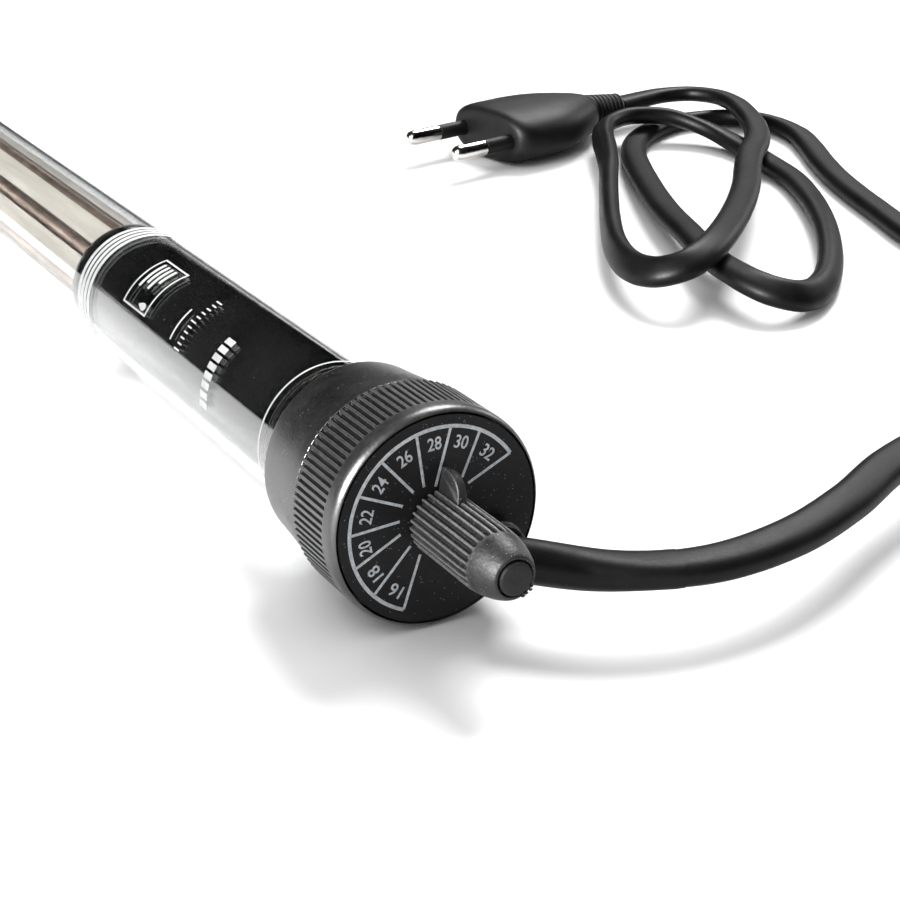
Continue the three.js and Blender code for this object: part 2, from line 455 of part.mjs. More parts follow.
// ---- two-pin plug at the far end of the lead ----------------------------
{
  const plug = new THREE.Group();
  plug.name = 'plug';
  const end = routePoints[routePoints.length - 1];
  plug.position.set(end.x, end.y, 6.85);
  plug.rotation.z = Math.atan2(0.985, -0.172);        // +X of the plug runs from its pins to the lead
  root.add(plug);
  // plan outline tapering from the face to the tail, rounded in height
  const half = [[-48, 11.9], [-47.2, 13.7], [-45.4, 14.8], [-42.5, 15.2], [-34, 15.2], [-29, 14.3], [-24, 12.5], [-16, 8.4], [-12, 6.0]];
  const outline = [...half.map(([x, y]) => [x, -y]), ...half.slice().reverse().map(([x, y]) => [x, y])];
  const body = new THREE.Shape(outline.map(([x, y]) => new THREE.Vector2(x, y)));
  const slab = man(new THREE.ExtrudeGeometry(body, { depth: 9.7, steps: 1, bevelEnabled: true, bevelThickness: 2, bevelSize: 2, bevelOffset: -2, bevelSegments: 2 }).translate(0, 0, -4.85));
  const trim = man(box(-48.0, 5, -20, 20, -6.85, 6.85));
  const tail = man(turned([[-13.5, 0], [-13.5, 4.7], [-6, 4.0], [-0.6, 3.4], [-0.6, 0]], 20));
  const sockets = man(rodX(-50, -40, 2.3, 16, 9.3, 0)).add(man(rodX(-50, -40, 2.3, 16, -9.3, 0)));
  add(plug, 'plug_body', geo(slab.intersect(trim).add(tail).subtract(sockets)), rubber());
  for (const [name, s] of [['left', 1], ['right', -1]]) {
    add(plug, `plug_pin_${name}`, turned([[-40.4, 0], [-40.4, 1.15], [-57, 1.15], [-57, 2.0], [-65.6, 2.0], [-66.7, 1.3], [-67, 0]], 16).translate(0, 9.3 * s, 0), steel());
    add(plug, `plug_pin_sleeve_${name}`, tubeX(-56.7, -41, 1.45, 1.95, 16).translate(0, 9.3 * s, 0), rubber());
  }
}

export default root;
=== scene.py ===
import json
import math
import random

import bmesh
import bpy
import numpy as np
from mathutils import Matrix, Vector, noise

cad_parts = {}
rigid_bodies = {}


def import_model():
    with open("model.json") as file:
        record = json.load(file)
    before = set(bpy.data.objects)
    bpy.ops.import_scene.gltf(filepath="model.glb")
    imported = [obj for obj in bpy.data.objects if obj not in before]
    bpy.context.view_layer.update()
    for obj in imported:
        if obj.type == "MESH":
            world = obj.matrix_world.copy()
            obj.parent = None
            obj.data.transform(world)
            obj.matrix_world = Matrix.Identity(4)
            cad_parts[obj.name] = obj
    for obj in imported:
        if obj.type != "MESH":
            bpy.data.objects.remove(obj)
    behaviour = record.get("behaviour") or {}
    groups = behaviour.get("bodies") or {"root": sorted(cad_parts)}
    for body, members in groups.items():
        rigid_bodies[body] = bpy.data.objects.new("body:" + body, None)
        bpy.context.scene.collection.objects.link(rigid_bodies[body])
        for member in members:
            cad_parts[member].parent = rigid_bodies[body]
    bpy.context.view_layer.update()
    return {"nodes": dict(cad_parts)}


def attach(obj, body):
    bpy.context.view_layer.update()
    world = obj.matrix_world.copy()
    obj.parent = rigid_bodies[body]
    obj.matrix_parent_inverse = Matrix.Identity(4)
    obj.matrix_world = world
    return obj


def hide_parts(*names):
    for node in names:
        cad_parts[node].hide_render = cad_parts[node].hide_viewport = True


for _o in list(bpy.data.objects):
    bpy.data.objects.remove(_o)
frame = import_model()

MM = 0.001
FACE_X, FACE_Z = 143.2135, 17.2016
TILT = math.asin(4.5 / 282.7)
HEATER = Matrix.Translation((FACE_X, 0, FACE_Z)) @ Matrix.Rotation(-TILT, 4, "Y")
PLUG = Matrix.Translation((FACE_X - 215.7, 178.5, 6.85)) @ Matrix.Rotation(math.atan2(0.985, -0.172), 4, "Z")
ROW = Matrix.Identity(4)
scene = bpy.context.scene
scene.view_settings.view_transform = "Standard"

# ---- camera ---------------------------------------------------------------
cam = bpy.data.objects.new("camera", bpy.data.cameras.new("camera"))
scene.collection.objects.link(cam)
cam.data.lens = 75.783
cam.data.sensor_width = 36.0
right = Vector((0.495515, 0.868599, -0.000059))
down = Vector((0.361894, -0.206514, -0.909057))
ahead = Vector((-0.789619, 0.45043, -0.416671))
cam.matrix_world = Matrix((
    (right.x, -down.x, -ahead.x, 0.353697),
    (right.y, -down.y, -ahead.y, -0.118168),
    (right.z, -down.z, -ahead.z, 0.138748),
    (0, 0, 0, 1)))
cam.data.clip_start = 0.005
scene.camera = cam


# ---- materials --------------------------------------------------------------
def node(nt, kind, **props):
    n = nt.nodes.new(kind)
    for k, v in props.items():
        setattr(n, k, v)
    return n


def finish_of(name, dark, light, rough, metallic=0.0, fine=2500.0, coarse=160.0, bump=0.012, spec=0.5, coat=0.0,
              specks=0.0, speck_colour=(0.3, 0.3, 0.3), speck_scale=1400.0, grain=None, sheen_and_wear_tint=None, coat_rough=0.03):
    """Moulded or drawn surface: colour drift, roughness drift, fine bump and optional pale specks.
    bump in mm; grain stretches the fine noise along X, Y, Z."""
    m = bpy.data.materials.new(name)
    m.use_nodes = True
    nt = m.node_tree
    nt.nodes.clear()
    out = node(nt, "ShaderNodeOutputMaterial")
    sh = node(nt, "ShaderNodeBsdfPrincipled")
    nt.links.new(sh.outputs[0], out.inputs[0])
    sh.inputs["Metallic"].default_value = metallic
    sh.inputs["Specular IOR Level"].default_value = spec
    sh.inputs["Coat Weight"].default_value = coat
    sh.inputs["Coat Roughness"].default_value = coat_rough
    tc = node(nt, "ShaderNodeTexCoord")
    coords = tc.outputs["Object"]
    if grain:
        mp = node(nt, "ShaderNodeMapping")
        mp.inputs["Scale"].default_value = grain
        nt.links.new(coords, mp.inputs[0])
        stretched = mp.outputs[0]
    else:
        stretched = coords
    n1 = node(nt, "ShaderNodeTexNoise")
    n1.inputs["Scale"].default_value = coarse
    n1.inputs["Detail"].default_value = 5.0
    n1.inputs["Roughness"].default_value = 0.62
    nt.links.new(stretched, n1.inputs["Vector"])
    n2 = node(nt, "ShaderNodeTexNoise")
    n2.inputs["Scale"].default_value = fine
    n2.inputs["Detail"].default_value = 3.0
    nt.links.new(stretched, n2.inputs["Vector"])
    ramp = node(nt, "ShaderNodeValToRGB")
    ramp.color_ramp.elements[0].position = 0.36
    ramp.color_ramp.elements[0].color = (*dark, 1)
    ramp.color_ramp.elements[1].position = 0.66
    ramp.color_ramp.elements[1].color = (*light, 1)
    nt.links.new(n1.outputs["Fac"], ramp.inputs[0])
    colour = ramp.outputs[0]
    # Painted sheen with some wear: a per-vertex mesh attribute lightens the colour toward the given tint, which paints
    # highlights onto ridges and edges.
    if sheen_and_wear_tint:
        at = node(nt, "ShaderNodeAttribute", attribute_name="sheen_and_wear")
        sheen_and_wear_mask = node(nt, "ShaderNodeMath", operation="MULTIPLY")
        spread = node(nt, "ShaderNodeMapRange")
        spread.inputs["From Min"].default_value = 0.3
        spread.inputs["From Max"].default_value = 0.62
        spread.inputs["To Min"].default_value = 0.55
        spread.inputs["To Max"].default_value = 1.0
        nt.links.new(n2.outputs["Fac"], spread.inputs["Value"])
        nt.links.new(at.outputs["Fac"], sheen_and_wear_mask.inputs[0])
        nt.links.new(spread.outputs[0], sheen_and_wear_mask.inputs[1])
        wm = node(nt, "ShaderNodeMix", data_type="RGBA")
        wa, wb = [q for q in wm.inputs if q.type == "RGBA"]
        wb.default_value = (*sheen_and_wear_tint, 1)
        nt.links.new(sheen_and_wear_mask.outputs[0], wm.inputs[0])
        nt.links.new(colour, wa)
        colour = [q for q in wm.outputs if q.type == "RGBA"][0]
    if specks:
        vo = node(nt, "ShaderNodeTexVoronoi")
        vo.inputs["Scale"].default_value = speck_scale
        nt.links.new(coords, vo.inputs["Vector"])
        keep = node(nt, "ShaderNodeMath", operation="LESS_THAN")
        keep.inputs[1].default_value = 0.17
        nt.links.new(vo.outputs["Distance"], keep.inputs[0])
        pick = node(nt, "ShaderNodeTexNoise")
        pick.inputs["Scale"].default_value = speck_scale * 0.37
        nt.links.new(coords, pick.inputs["Vector"])
        some = node(nt, "ShaderNodeMath", operation="GREATER_THAN")
        some.inputs[1].default_value = 1.0 - specks
        nt.links.new(pick.outputs["Fac"], some.inputs[0])
        both = node(nt, "ShaderNodeMath", operation="MULTIPLY")
        nt.links.new(keep.outputs[0], both.inputs[0])
        nt.links.new(some.outputs[0], both.inputs[1])
        mix = node(nt, "ShaderNodeMix", data_type="RGBA")
        mix.inputs["B"].default_value = (*speck_colour, 1)
        for s in mix.inputs:
            if s.name == "B" and s.type == "RGBA":
                s.default_value = (*speck_colour, 1)
        nt.links.new(both.outputs[0], mix.inputs[0])
        a = [s for s in mix.inputs if s.name == "A" and s.type == "RGBA"][0]
        nt.links.new(colour, a)
        colour = [s for s in mix.outputs if s.type == "RGBA"][0]
    nt.links.new(colour, sh.inputs["Base Color"])
    mr = node(nt, "ShaderNodeMapRange")
    mr.inputs["From Min"].default_value = 0.3
    mr.inputs["From Max"].default_value = 0.7
    mr.inputs["To Min"].default_value = rough[0]
    mr.inputs["To Max"].default_value = rough[1]
    blend = node(nt, "ShaderNodeMath", operation="MULTIPLY_ADD")
    blend.inputs[1].default_value = 0.5
    half = node(nt, "ShaderNodeMath", operation="MULTIPLY")
    half.inputs[1].default_value = 0.5
    nt.links.new(n1.outputs["Fac"], half.inputs[0])
    nt.links.new(n2.outputs["Fac"], blend.inputs[0])
    nt.links.new(half.outputs[0], blend.inputs[2])
    nt.links.new(blend.outputs[0], mr.inputs["Value"])
    nt.links.new(mr.outputs[0], sh.inputs["Roughness"])
    bp = node(nt, "ShaderNodeBump")
    bp.inputs["Distance"].default_value = bump * MM
    bp.inputs["Strength"].default_value = 1.0
    nt.links.new(n2.outputs["Fac"], bp.inputs["Height"])
    nt.links.new(bp.outputs[0], sh.inputs["Normal"])
    return m


def glass_of(name, tint, rough, ior=1.47):
    m = bpy.data.materials.new(name)
    m.use_nodes = True
    nt = m.node_tree
    nt.nodes.clear()
    out = node(nt, "ShaderNodeOutputMaterial")
    sh = node(nt, "ShaderNodeBsdfPrincipled")
    sh.inputs["Transmission Weight"].default_value = 1.0
    sh.inputs["IOR"].default_value = ior
    tc = node(nt, "ShaderNodeTexCoord")
    n1 = node(nt, "ShaderNodeTexNoise")
    n1.inputs["Scale"].default_value = 90.0
    n1.inputs["Detail"].default_value = 6.0
    nt.links.new(tc.outputs["Object"], n1.inputs["Vector"])
    ramp = node(nt, "ShaderNodeValToRGB")
    ramp.color_ramp.elements[0].position = 0.4
    ramp.color_ramp.elements[0].color = (*tint, 1)
    ramp.color_ramp.elements[1].position = 0.7
    ramp.color_ramp.elements[1].color = (1, 1, 1, 1)
    nt.links.new(n1.outputs["Fac"], ramp.inputs[0])
    nt.links.new(ramp.outputs[0], sh.inputs["Base Color"])
    mr = node(nt, "ShaderNodeMapRange")
    mr.inputs["From Min"].default_value = 0.45
    mr.inputs["From Max"].default_value = 0.75
    mr.inputs["To Min"].default_value = rough[0]
    mr.inputs["To Max"].default_value = rough[1]
    nt.links.new(n1.outputs["Fac"], mr.inputs["Value"])
    nt.links.new(mr.outputs[0], sh.inputs["Roughness"])
    tr = node(nt, "ShaderNodeBsdfTransparent")
    lp = node(nt, "ShaderNodeLightPath")
    mx = node(nt, "ShaderNodeMixShader")
    nt.links.new(lp.outputs["Is Shadow Ray"], mx.inputs[0])
    nt.links.new(sh.outputs[0], mx.inputs[1])
    nt.links.new(tr.outputs[0], mx.inputs[2])
    nt.links.new(mx.outputs[0], out.inputs[0])
    return m


def g(v, warm=0.0):
    return (v * (1 + warm), v, v * (1 - warm))


MAT = {
    "clear_glass": glass_of("glass_borosilicate", (0.975, 0.99, 0.985), (0.0, 0.02)),
    "collar": finish_of("plastic_collar_black", g(0.003), g(0.008), (0.26, 0.40), fine=2300, bump=0.026, specks=0.42, speck_colour=g(0.16), spec=1.0),
    "cap": finish_of("plastic_cap_black", g(0.0025), g(0.006), (0.27, 0.42), fine=2000, bump=0.02, specks=0.36, speck_colour=g(0.16), spec=0.8, sheen_and_wear_tint=g(0.13)),
    "face": finish_of("plastic_face_black", g(0.0045), g(0.0085), (0.44, 0.62), fine=3600, bump=0.012, specks=0.44, speck_colour=g(0.16), speck_scale=2300, spec=0.15),
    "knob": finish_of("plastic_knob_black", g(0.003), g(0.008), (0.40, 0.6), fine=1900, bump=0.07, specks=0.46, speck_colour=g(0.34), speck_scale=2900, spec=0.28, sheen_and_wear_tint=g(0.22)),
    "tip": finish_of("plastic_tip_dark", g(0.006), g(0.016), (0.5, 0.65), fine=1800, bump=0.05, specks=0.36, speck_colour=g(0.12), spec=0.2),
    "boss": finish_of("plastic_boss_black", g(0.004), g(0.008), (0.34, 0.46), fine=2600, bump=0.006, specks=0.15, speck_colour=g(0.08), spec=0.3),
    "crumb": finish_of("debris_black", g(0.006), g(0.02), (0.6, 0.8), fine=6000, bump=0.02),
    "print": finish_of("ink_light_grey", (0.27, 0.29, 0.31), (0.46, 0.48, 0.50), (0.5, 0.65), fine=3000, coarse=1500, bump=0.01),
    "glass_print": finish_of("ink_white_fired", (0.62, 0.62, 0.62), (0.76, 0.76, 0.76), (0.35, 0.5), fine=5000, coarse=600, bump=0.003),
    "gloss_black": finish_of("lacquer_gloss_black", g(0.0025), g(0.0045), (0.03, 0.08), fine=600, coarse=60, bump=0.0012, spec=0.5, coat=0.35, specks=0.36, speck_colour=g(0.10), speck_scale=1500),
    "lead": finish_of("pvc_lead_black", g(0.0022), g(0.0055), (0.40, 0.54), fine=1900, coarse=90, bump=0.022, specks=0.22, speck_colour=g(0.06), speck_scale=1500, spec=0.13),
    "plug": finish_of("pvc_plug_black", g(0.003), g(0.007), (0.44, 0.58), fine=2000, bump=0.03, specks=0.2, speck_colour=g(0.05), spec=0.17),
    "black_rubber": finish_of("rubber_black", g(0.012), g(0.022), (0.5, 0.66), fine=1800, bump=0.015),
    "grey_silicone": finish_of("silicone_grey", g(0.20), g(0.27), (0.45, 0.6), fine=1600, bump=0.01),
    "ceramic": finish_of("ceramic_buff", (0.115, 0.105, 0.092), (0.20, 0.185, 0.162), (0.5, 0.68), fine=2200, coarse=260, bump=0.03, specks=0.35, speck_colour=(0.07, 0.055, 0.045), spec=0.3, grain=(0.06, 1, 1)),
    "coil_wire": finish_of("wire_resistance", (0.055, 0.042, 0.034), (0.13, 0.10, 0.085), (0.34, 0.52), metallic=0.85, fine=3000, coarse=220, bump=0.004),
    "steel": finish_of("steel_drawn", g(0.42), g(0.56), (0.2, 0.36), metallic=1.0, fine=1400, bump=0.003, grain=(0.15, 1, 1)),
    "nickel": finish_of("pin_nickel", g(0.52, 0.03), g(0.66, 0.03), (0.12, 0.26), metallic=1.0, fine=1500, bump=0.002, grain=(1, 0.2, 1)),
    "brass": finish_of("brass_machined", (0.55, 0.38, 0.14), (0.70, 0.52, 0.23), (0.22, 0.38), metallic=1.0, fine=1500, bump=0.003),
    "silver": finish_of("contact_silver", g(0.68), g(0.80), (0.25, 0.4), metallic=1.0, fine=3000, bump=0.003),
    "bimetal": finish_of("bimetal_rolled", (0.42, 0.37, 0.31), (0.55, 0.50, 0.43), (0.28, 0.42), metallic=1.0, fine=1500, bump=0.003, grain=(0.1, 1, 1)),
    "laminate": finish_of("laminate_brown", (0.16, 0.085, 0.035), (0.24, 0.13, 0.06), (0.42, 0.58), fine=1800, coarse=300, bump=0.01, grain=(0.3, 1, 1)),
    "lamp_glass": glass_of("lamp_glass_amber", (0.95, 0.75, 0.55), (0.02, 0.06)),
    "film_blue": finish_of("film_blue", (0.03, 0.09, 0.24), (0.05, 0.13, 0.32), (0.3, 0.42), fine=1800, bump=0.006),
    "wire_brown": finish_of("wire_brown", (0.10, 0.04, 0.018), (0.15, 0.06, 0.03), (0.36, 0.5), fine=1800, bump=0.006),
    "wire_blue": finish_of("wire_blue", (0.02, 0.06, 0.22), (0.03, 0.09, 0.30), (0.36, 0.5), fine=1800, bump=0.006),
    "floor": finish_of("floor_white", g(0.86), g(0.89), (0.6, 0.75), fine=400, coarse=6, bump=0.004, spec=0.2),
}


# ---- mesh helpers -----------------------------------------------------------
class Form:
    """Vertices and faces in millimetres, gathered from several surfaces."""

    def __init__(self):
        self.v, self.f, self.sheen_and_wear = [], [], None

    def add(self, verts, faces):
        k = len(self.v)
        self.v += [tuple(map(float, p)) for p in verts]
        self.f += [tuple(i + k for i in q) for q in faces]
        return self

    def lathe(self, profile, seg, loop=True, y=0.0, z=0.0):
        """Profile of (x, r) turned about X; r = 0 makes a pole; loop closes the profile on itself."""
        v, rows = [], []
        for x, r in profile:
            if r == 0:
                rows.append([len(v)])
                v.append((x, y, z))
            else:
                rows.append(list(range(len(v), len(v) + seg)))
                v += [(x, y + r * math.cos(2 * math.pi * j / seg), z + r * math.sin(2 * math.pi * j / seg)) for j in range(seg)]
        f = []
        pairs = list(zip(rows, rows[1:])) + ([(rows[-1], rows[0])] if loop else [])
        for a, b in pairs:
            if len(a) == 1 and len(b) == 1:
                continue
            for j in range(seg):
                j2 = (j + 1) % seg
                if len(a) == 1:
                    f.append((a[0], b[j], b[j2]))
                elif len(b) == 1:
                    f.append((a[j], b[0], a[j2]))
                else:
                    f.append((a[j], b[j], b[j2], a[j2]))
        return self.add(v, f)

    def rings(self, rings, caps=True):
        """Closed rings of equal count joined in a row, with ends capped."""
        n = len(rings[0])
        v = [p for r in rings for p in r]
        f = []
        for i in range(len(rings) - 1):
            for j in range(n):
                j2 = (j + 1) % n
                f.append((i * n + j, i * n + j2, (i + 1) * n + j2, (i + 1) * n + j))
        if caps:
            f.append(tuple(range(n - 1, -1, -1)))
            f.append(tuple((len(rings) - 1) * n + j for j in range(n)))
        return self.add(v, f)

    def build(self, name, mat, place=HEATER, angle=32.0, flat=False):
        m = np.array(place)
        v = (np.array(self.v) @ m[:3, :3].T + m[:3, 3]) * MM
        me = bpy.data.meshes.new(name)
        me.from_pydata(v.tolist(), [], self.f)
        bm = bmesh.new()
        bm.from_mesh(me)
        bmesh.ops.recalc_face_normals(bm, faces=bm.faces)
        bm.to_mesh(me)
        bm.free()
        if not flat:
            me.shade_smooth()
            me.set_sharp_from_angle(angle=math.radians(angle))
        if self.sheen_and_wear is not None:
            at = me.attributes.new("sheen_and_wear", "FLOAT", "POINT")
            at.data.foreach_set("value", self.sheen_and_wear)
        me.materials.append(mat)
        ob = bpy.data.objects.new(name, me)
        scene.collection.objects.link(ob)
        return ob


def place(ob, slot=None, nodes=(), body="housing"):
    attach(ob, body)
    if nodes:
        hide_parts(*nodes)
    return ob


def fillet(points, steps=5):
    """Round the corners given as (x, r, radius) in a profile."""
    out = []
    n = len(points)
    for i, p in enumerate(points):
        rad = p[2] if len(p) > 2 else 0
        if not rad:
            out.append((p[0], p[1]))
            continue
        a, b, c = np.array(points[i - 1][:2]), np.array(p[:2]), np.array(points[(i + 1) % n][:2])
        u = (a - b) / np.linalg.norm(a - b)
        w = (c - b) / np.linalg.norm(c - b)
        ang = math.acos(max(-1, min(1, float(u @ w))))
        d = min(rad / math.tan(ang / 2), 0.48 * np.linalg.norm(a - b), 0.48 * np.linalg.norm(c - b))
        p0, p1 = b + u * d, b + w * d
        for k in range(steps + 1):
            t = k / steps
            q = (1 - t) ** 2 * p0 + 2 * t * (1 - t) * b + t * t * p1
            out.append((float(q[0]), float(q[1])))
    return out


# ---- glass tube -------------------------------------------------------------
R_OUT, R_IN = 12.5, 11.2
CENTRE = -308.0 + R_OUT
prof = [(-308.0, 0)]
for i in range(1, 25):
    a = math.pi / 2 * i / 24
    prof.append((CENTRE - R_OUT * math.cos(a), R_OUT * math.sin(a)))
prof += [(x, R_OUT) for x in np.linspace(-280, -20, 14)]
prof += [(-7.5, R_OUT), (-7.15, R_OUT - 0.12), (-7.0, R_OUT - 0.45), (-7.0, R_IN + 0.45), (-7.15, R_IN + 0.12), (-7.5, R_IN)]
prof += [(x, R_IN) for x in np.linspace(-20, -280, 14)]
for i in range(24, 0, -1):
    a = math.pi / 2 * i / 24
    prof.append((CENTRE - R_IN * math.cos(a), R_IN * math.sin(a)))
prof.append((CENTRE - R_IN, 0))
place(Form().lathe(prof, 144, loop=False).build("glass_tube_blown", MAT["clear_glass"], angle=50), "clear_glass", ["glass_tube"])

# ---- collar body --------------------------------------------------------------
prof = fillet([
    (-26.5, 12.8, 0.25), (-26.5, 15.22, 0.75), (-23.5, 15.47), (-18.0, 16.0), (-13.4, 16.35, 0.2), (-13.4, 14.2), (-4.5, 14.2),
    (-4.5, 12.8), (-17.0, 12.8), (-17.0, 14.6), (-20.0, 14.6), (-20.0, 12.8)])
place(Form().lathe(prof, 160).build("collar_body", MAT["collar"]), "black_plastic", ["head_body"])

# ---- knurled cap --------------------------------------------------------------
RIBS = 96
PITCH = 2 * math.pi * 17.0 / RIBS


def step(t):
    t = min(max(t, 0.0), 1.0)
    return t * t * (3 - 2 * t)


def groove(u, x, half, front, back_round=0.24):
    """Depth share of one rounded groove; u is the distance across from its centre line."""
    d = math.hypot(u, max(0.0, x - (front - half)))
    q = min(d / half, 1.0)
    deep = math.sqrt(max(0.0, 1 - q * q))
    # the land ends in a rounded nose at the back, so the groove widens there
    across = PITCH / 2 - abs(u)
    back = max(0.0, -12.45 - x)
    nose = math.hypot(across, back)
    open_end = step((nose - 0.19) / 0.12) if back > 0 else 0.0
    return max(deep, open_end)


us = [0.0, 0.11, 0.19, 0.25, 0.285, 0.31, 0.35, 0.42, PITCH / 2]
offsets = [-u for u in us[:0:-1]][1:] + us          # one pitch, open at the left end
cols = []
for i in range(RIBS):
    base = 2 * math.pi * i / RIBS
    cols += [(base + o / 17.0, o) for o in offsets]
xs = [-12.95, -12.9, -12.84, -12.76, -12.66, -12.56, -12.45, -12.3, -11.8, -10.5, -8.5, -6.5, -5.0, -4.0, -3.75, -3.6, -3.48, -3.38, -3.3, -3.23, -3.17, -3.12, -3.06, -2.9]
rows = []
for x in xs:
    ring = []
    for a, u in cols:
        r = 17.0 - 0.62 * groove(u, x, 0.31, -3.1)
        ring.append((x, r * math.cos(a), r * math.sin(a)))
    rows.append(ring)
n = len(cols)


def plain(x, r):
    return [(x, r * math.cos(a), r * math.sin(a)) for a, _ in cols]


band = [(-2.2, 17.0), (-1.6, 17.0), (-1.15, 16.965), (-0.8, 16.88), (-0.5, 16.76), (-0.27, 16.6), (-0.1, 16.46), (-0.02, 16.36), (0.0, 16.31), (-0.05, 16.26), (-0.25, 16.25), (-2.8, 16.25), (-2.8, 14.5)]
back = [(-13.1, 14.5), (-13.1, 15.7), (-13.1, 16.1), (-13.02, 16.3)]
allrings = [plain(*p) for p in back] + rows + [plain(*p) for p in band]
cap = Form()
v = [p for r in allrings for p in r]
f = []
m = len(allrings)
for i in range(m):
    i2 = (i + 1) % m
    for j in range(n):
        j2 = (j + 1) % n
        f.append((i * n + j, i * n + j2, i2 * n + j2, i2 * n + j))
cap.add(v, f)
# Painted highlight: the knurl's land tops, their thin edges and a little of the smooth front band are painted lighter
# through this mask. The grooves keep the dark base colour.
sheen_and_wear_mask = []
for q in allrings:
    for (x, y, z), (a, u) in zip(q, cols):
        r = math.hypot(y, z)
        top = step((r - 16.72) / 0.26)
        lip = max(0.0, 1 - abs(abs(u) - 0.35) / 0.06)
        inside = -12.9 < x < -3.05
        sheen_and_wear_mask.append(top * (0.42 + 0.58 * lip) if inside else (0.16 if x > -3.05 and r > 16.3 else 0.0))
cap.sheen_and_wear = sheen_and_wear_mask
place(cap.build("knurled_cap_ring", MAT["cap"], angle=60), "black_plastic", ["knurled_cap"])

# ---- dial plate keeps its shape; its print stands a hair proud ------------------
INK0, INK1 = -0.02, 0.035


def slab_yz(form, outline, x0=INK0, x1=INK1):
    n = len(outline)
    v = [(x0, y, z) for y, z in outline] + [(x1, y, z) for y, z in outline]
    f = [tuple(range(n - 1, -1, -1)), tuple(range(n, 2 * n))]
    f += [(j, (j + 1) % n, n + (j + 1) % n, n + j) for j in range(n)]
    form.add(v, f)


dial = Form()
A0, A1 = 33.1, 245.4
N = 120
for k in range(N):
    a, b = math.radians(A0 + (A1 - A0) * k / N), math.radians(A0 + (A1 - A0) * (k + 1) / N)
    slab_yz(dial, [(r * math.cos(t), r * math.sin(t)) for r, t in ((13.95, a), (14.5, a), (14.5, b), (13.95, b))])
LINES = [245.4, 221.3, 198.3, 176.7, 152.3, 128.9, 103.6, 81.1, 60.8, 33.1]
INNER = [(-3.05, -4.78), (-4.6, -3.03), (-6.17, -0.85), (-6.26, 1.22), (-5.72, 3.47), (-3.97, 5.2), (-2.26, 5.63), (-0.4, 5.29), (3.9, 5.7), (4.9, 4.59)]
for a, q0 in zip(LINES, INNER):
    t = math.radians(a)
    q0, q1 = np.array(q0), 14.2 * np.array((math.cos(t), math.sin(t)))
    e = (q1 - q0) / np.linalg.norm(q1 - q0)
    w = 0.21 * np.array((-e[1], e[0]))
    slab_yz(dial, [tuple(q0 - w), tuple(q1 - w), tuple(q1 + w), tuple(q0 + w)])
place(dial.build("dial_scale_print", MAT["print"], flat=True), None)

digits = Form()
for k, word in enumerate(("16", "18", "20", "22", "24", "26", "28", "30", "32")):
    t = math.radians((LINES[k] + LINES[k + 1]) / 2)
    c = bpy.data.curves.new("digits", "FONT")
    c.body = word
    c.size = 3.0
    c.offset = 0.03
    c.extrude = 0.02
    c.resolution_u = 4
    to = bpy.data.objects.new("digits", c)
    scene.collection.objects.link(to)
    me = bpy.data.meshes.new_from_object(to.evaluated_get(bpy.context.evaluated_depsgraph_get()))
    p = np.array([tuple(q.co) for q in me.vertices])
    lo, hi = p.min(0), p.max(0)
    faces = [tuple(q.vertices) for q in me.polygons]
    x = (p[:, 0] - (lo[0] + hi[0]) / 2) * 2.2 / (hi[0] - lo[0])
    y = (p[:, 1] - (lo[1] + hi[1]) / 2) * 2.0 / (hi[1] - lo[1])
    z = np.where(p[:, 2] > 0, INK1, INK0)
    e, s = np.array((math.cos(t), math.sin(t))), np.array((math.sin(t), -math.cos(t)))
    yz = (11.9 + y)[:, None] * e + x[:, None] * s
    digits.add([(zz, q[0], q[1]) for zz, q in zip(z, yz)], faces)
    bpy.data.objects.remove(to)
    bpy.data.meshes.remove(me)
place(digits.build("dial_digits_print", MAT["print"], flat=True), None)

# ---- knob with flutes, dome and pointer fin --------------------------------------
FLUTES = 26
KP = 2 * math.pi * 4.9 / FLUTES


def knob_r(x):
    pts = [(0.3, 4.82), (0.6, 4.9), (14.2, 4.9), (15.2, 4.85), (16.2, 4.73), (17.2, 4.55), (18.2, 4.31), (19.0, 4.07), (19.7, 3.83), (20.3, 3.57), (20.7, 3.35), (20.93, 3.17), (21.0, 3.02), (21.0, 2.9)]
    return float(np.interp(x, [q[0] for q in pts], [q[1] for q in pts]))


ku = [0.0, 0.12, 0.22, 0.30, 0.36, 0.40, 0.45, 0.52, KP / 2]
koff = [-u for u in ku[:0:-1]][1:] + ku
kcols = []
for i in range(FLUTES):
    base = 2 * math.pi * (i + 0.5) / FLUTES
    kcols += [(base + o / 4.9, o) for o in koff]
kxs = [0.3, 0.6, 1.0, 3, 5, 7, 9, 11, 13, 14.2, 14.8, 15.1, 15.3, 15.45, 15.58, 15.7, 15.8, 15.88, 15.96, 16.05, 16.3, 16.7, 17.2, 17.8, 18.4, 19.0, 19.5, 19.9, 20.3, 20.6, 20.8, 20.93, 21.0]
krings = []
for x in kxs:
    ring = []
    for a, u in kcols:
        d = math.hypot(u, max(0.0, x - 15.45) * 0.75)
        q = min(d / 0.42, 1.0)
        deep = 0.5 * math.sqrt(max(0.0, 1 - q * q)) * (1.0 - 0.35 * step((x - 14.6) / 1.3))
        r = knob_r(x) - deep
        ring.append((x, r * math.cos(a), r * math.sin(a)))
    krings.append(ring)


def kplain(x, r):
    return [(x, r * math.cos(a), r * math.sin(a)) for a, _ in kcols]


